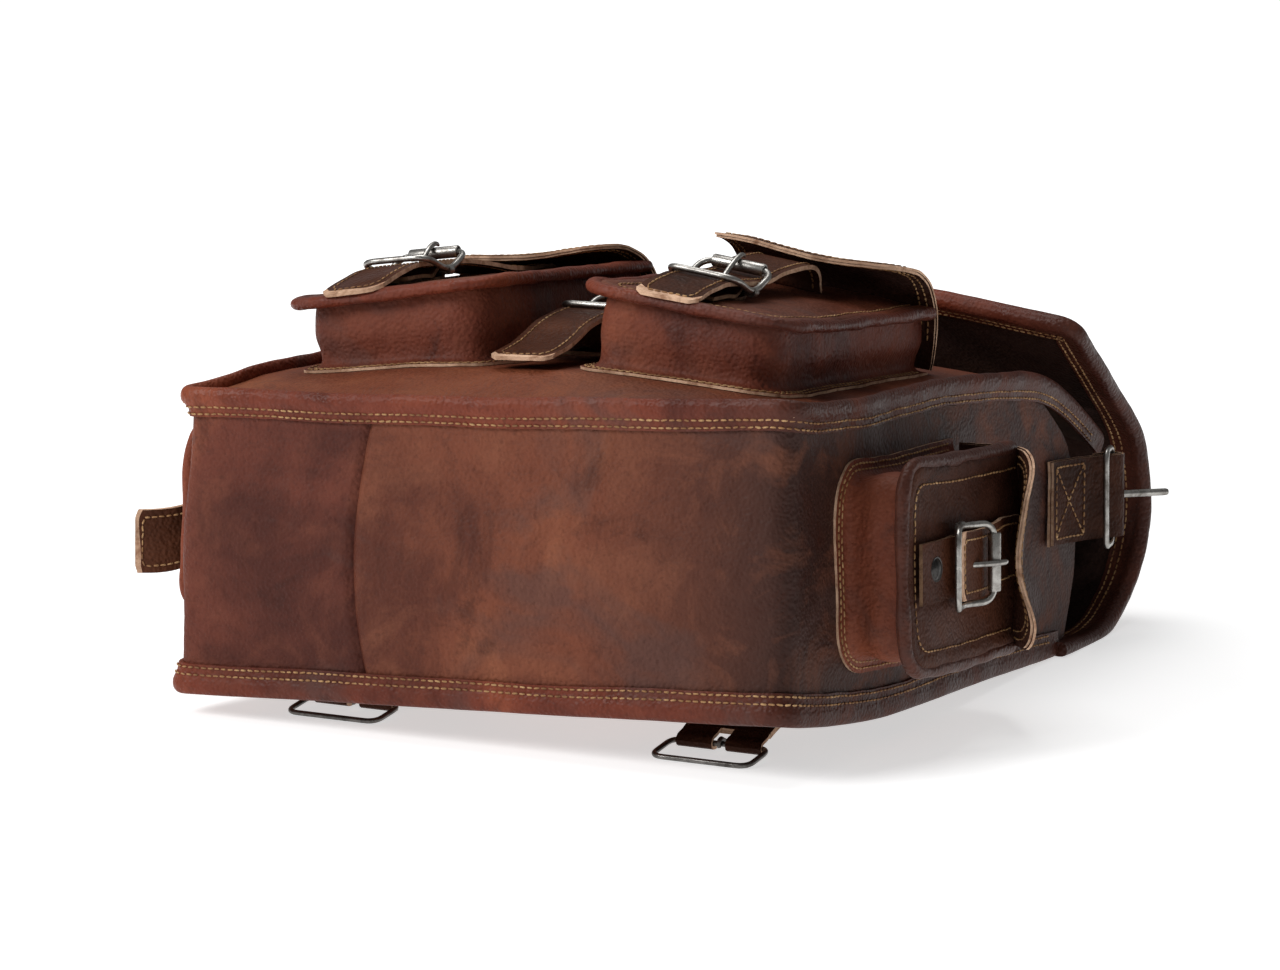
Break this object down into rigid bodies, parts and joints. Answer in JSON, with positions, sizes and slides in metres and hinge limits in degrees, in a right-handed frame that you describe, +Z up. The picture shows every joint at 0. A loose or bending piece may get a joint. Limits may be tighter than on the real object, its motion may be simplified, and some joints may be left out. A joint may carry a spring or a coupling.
{
  "type": "saddle bag",
  "caption": "Leather saddle bag with buckled front and side pockets, a wrap-over flap with a centre strap, and buckled tabs for its shoulder straps.",
  "frame": {"origin": "on the surface that the bag lies on, under the middle of its bounding box", "axes": "+Z up, out of the front panel while the bag lies on its back; +Y from the base to the mouth; +X to the bag's right side when its base is towards the viewer"},
  "size_m": [0.3905, 0.401, 0.2076],
  "materials": {
    "shell_leather": "vegetable-tanned pebbled brown leather with patina and worn edges",
    "dark_gusset_leather": "darker maroon brown leather with patina",
    "strap_leather": "dark brown strap leather with raw tan cut edges",
    "piping_leather": "rolled brown binding leather with golden thread stitching",
    "canvas_lining": "plain woven cotton canvas",
    "nickel_hardware": "worn nickel-plated steel wire"
  },
  "bodies": {
    "root": {"back_panel": "shell_leather", "front_panel": "shell_leather", "gusset_right": "shell_leather", "gusset_left": "dark_gusset_leather", "lining": "canvas_lining", "back_piping": "piping_leather", "front_piping": "piping_leather", "snap_studs": "nickel_hardware", "front_right_band": "shell_leather", "front_right_face": "shell_leather", "front_left_band": "shell_leather", "front_left_face": "shell_leather", "side_right_band": "shell_leather", "side_right_face": "shell_leather", "side_left_band": "shell_leather", "side_left_face": "shell_leather", "side_right_tab": "strap_leather", "side_left_tab": "strap_leather", "lower_right_tab": "strap_leather", "lower_left_tab": "strap_leather"},
    "flap_rise": {"flap_rise": "shell_leather"},
    "flap_cover": {"flap_cover": "shell_leather", "centre_strap": "strap_leather", "centre_chape": "strap_leather", "centre_buckle_frame": "nickel_hardware"},
    "centre_prong": {"centre_buckle_prong": "nickel_hardware"},
    "centre_roller": {"centre_buckle_roller": "nickel_hardware"},
    "front_right_flap": {"front_right_flap": "shell_leather", "front_right_strap": "strap_leather", "front_right_chape": "strap_leather", "front_right_buckle_frame": "nickel_hardware"},
    "front_right_prong": {"front_right_buckle_prong": "nickel_hardware"},
    "front_right_roller": {"front_right_buckle_roller": "nickel_hardware"},
    "front_left_flap": {"front_left_flap": "shell_leather", "front_left_strap": "strap_leather", "front_left_chape": "strap_leather", "front_left_buckle_frame": "nickel_hardware"},
    "front_left_prong": {"front_left_buckle_prong": "nickel_hardware"},
    "front_left_roller": {"front_left_buckle_roller": "nickel_hardware"},
    "side_right_flap": {"side_right_flap": "shell_leather", "side_right_strap": "strap_leather", "side_right_chape": "strap_leather", "side_right_buckle_frame": "nickel_hardware"},
    "side_right_prong": {"side_right_buckle_prong": "nickel_hardware"},
    "side_right_roller": {"side_right_buckle_roller": "nickel_hardware"},
    "side_left_flap": {"side_left_flap": "shell_leather", "side_left_strap": "strap_leather", "side_left_chape": "strap_leather", "side_left_buckle_frame": "nickel_hardware"},
    "side_left_prong": {"side_left_buckle_prong": "nickel_hardware"},
    "side_left_roller": {"side_left_buckle_roller": "nickel_hardware"},
    "side_right_tab_frame": {"side_right_tab_frame": "nickel_hardware"},
    "side_right_tab_prong": {"side_right_tab_prong": "nickel_hardware"},
    "side_left_tab_frame": {"side_left_tab_frame": "nickel_hardware"},
    "side_left_tab_prong": {"side_left_tab_prong": "nickel_hardware"},
    "lower_right_tab_frame": {"lower_right_tab_frame": "nickel_hardware"},
    "lower_right_tab_prong": {"lower_right_tab_prong": "nickel_hardware"},
    "lower_left_tab_frame": {"lower_left_tab_frame": "nickel_hardware"},
    "lower_left_tab_prong": {"lower_left_tab_prong": "nickel_hardware"}
  },
  "joints": [
    {"name": "flap_lift", "type": "hinge", "parent": "root", "child": "flap_rise", "pos_m": [0, 0.18369, 0.01947], "axis": [-1, 0, 0], "range_deg": [0, 40]},
    {"name": "flap_fold", "type": "hinge", "parent": "flap_rise", "child": "flap_cover", "pos_m": [0, 0.19815, 0.06989], "axis": [-1, 0, 0], "range_deg": [0, 88]},
    {"name": "centre_prong_lift", "type": "hinge", "parent": "flap_cover", "child": "centre_prong", "pos_m": [0, -0.07704, 0.17118], "axis": [1, 0, 0], "range_deg": [0, 70]},
    {"name": "centre_roller_spin", "type": "hinge", "parent": "flap_cover", "child": "centre_roller", "pos_m": [0, -0.05856, 0.17856], "axis": [1, 0, 0], "continuous": true},
    {"name": "front_right_flap_lift", "type": "hinge", "parent": "root", "child": "front_right_flap", "pos_m": [0.07419, 0.00966, 0.14719], "axis": [-0.9908, 0.0083, 0.1354], "range_deg": [0, 80]},
    {"name": "front_right_prong_lift", "type": "hinge", "parent": "front_right_flap", "child": "front_right_prong", "pos_m": [0.07913, -0.10393, 0.19027], "axis": [0.9908, -0.0083, -0.1354], "range_deg": [0, 70]},
    {"name": "front_right_roller_spin", "type": "hinge", "parent": "front_right_flap", "child": "front_right_roller", "pos_m": [0.08028, -0.08545, 0.19757], "axis": [0.9908, -0.0083, -0.1354], "continuous": true},
    {"name": "front_left_flap_lift", "type": "hinge", "parent": "root", "child": "front_left_flap", "pos_m": [-0.07419, 0.00966, 0.14719], "axis": [-0.9908, -0.0083, -0.1354], "range_deg": [0, 80]},
    {"name": "front_left_prong_lift", "type": "hinge", "parent": "front_left_flap", "child": "front_left_prong", "pos_m": [-0.07913, -0.10393, 0.19027], "axis": [0.9908, 0.0083, 0.1354], "range_deg": [0, 70]},
    {"name": "front_left_roller_spin", "type": "hinge", "parent": "front_left_flap", "child": "front_left_roller", "pos_m": [-0.08028, -0.08545, 0.19757], "axis": [0.9908, 0.0083, 0.1354], "continuous": true},
    {"name": "side_right_flap_lift", "type": "hinge", "parent": "root", "child": "side_right_flap", "pos_m": [0.14279, -0.02089, 0.07363], "axis": [-0.0412, 0.061, 0.9973], "range_deg": [0, 80]},
    {"name": "side_right_prong_lift", "type": "hinge", "parent": "side_right_flap", "child": "side_right_prong", "pos_m": [0.17816, -0.10365, 0.08015], "axis": [0.0412, -0.061, -0.9973], "range_deg": [0, 70]},
    {"name": "side_right_roller_spin", "type": "hinge", "parent": "side_right_flap", "child": "side_right_roller", "pos_m": [0.18665, -0.08566, 0.0794], "axis": [0.0412, -0.061, -0.9973], "continuous": true},
    {"name": "side_left_flap_lift", "type": "hinge", "parent": "root", "child": "side_left_flap", "pos_m": [-0.14279, -0.02089, 0.07363], "axis": [-0.0412, -0.061, -0.9973], "range_deg": [0, 80]},
    {"name": "side_left_prong_lift", "type": "hinge", "parent": "side_left_flap", "child": "side_left_prong", "pos_m": [-0.17816, -0.10365, 0.08015], "axis": [0.0412, 0.061, 0.9973], "range_deg": [0, 70]},
    {"name": "side_left_roller_spin", "type": "hinge", "parent": "side_left_flap", "child": "side_left_roller", "pos_m": [-0.18665, -0.08566, 0.0794], "axis": [0.0412, 0.061, 0.9973], "continuous": true},
    {"name": "side_right_tab_frame_swing", "type": "hinge", "parent": "root", "child": "side_right_tab_frame", "pos_m": [0.15413, 0.1412, 0.0702], "axis": [-0.0412, 0.061, 0.9973], "range_deg": [0, 88]},
    {"name": "side_right_tab_prong_swing", "type": "hinge", "parent": "root", "child": "side_right_tab_prong", "pos_m": [0.15413, 0.1412, 0.0702], "axis": [-0.0412, 0.061, 0.9973], "range_deg": [-88, 25]},
    {"name": "side_left_tab_frame_swing", "type": "hinge", "parent": "root", "child": "side_left_tab_frame", "pos_m": [-0.15413, 0.1412, 0.0702], "axis": [-0.0412, -0.061, -0.9973], "range_deg": [0, 88]},
    {"name": "side_left_tab_prong_swing", "type": "hinge", "parent": "root", "child": "side_left_tab_prong", "pos_m": [-0.15413, 0.1412, 0.0702], "axis": [-0.0412, -0.061, -0.9973], "range_deg": [-88, 25]},
    {"name": "lower_right_tab_frame_swing", "type": "hinge", "parent": "root", "child": "lower_right_tab_frame", "pos_m": [0.09, -0.1516, 0.004], "axis": [1, 0, 0], "range_deg": [-20, 90]},
    {"name": "lower_right_tab_prong_swing", "type": "hinge", "parent": "root", "child": "lower_right_tab_prong", "pos_m": [0.09, -0.1516, 0.004], "axis": [1, 0, 0], "range_deg": [-60, 0]},
    {"name": "lower_left_tab_frame_swing", "type": "hinge", "parent": "root", "child": "lower_left_tab_frame", "pos_m": [-0.09, -0.1516, 0.004], "axis": [1, 0, 0], "range_deg": [-20, 90]},
    {"name": "lower_left_tab_prong_swing", "type": "hinge", "parent": "root", "child": "lower_left_tab_prong", "pos_m": [-0.09, -0.1516, 0.004], "axis": [1, 0, 0], "range_deg": [-60, 0]}
  ]
}
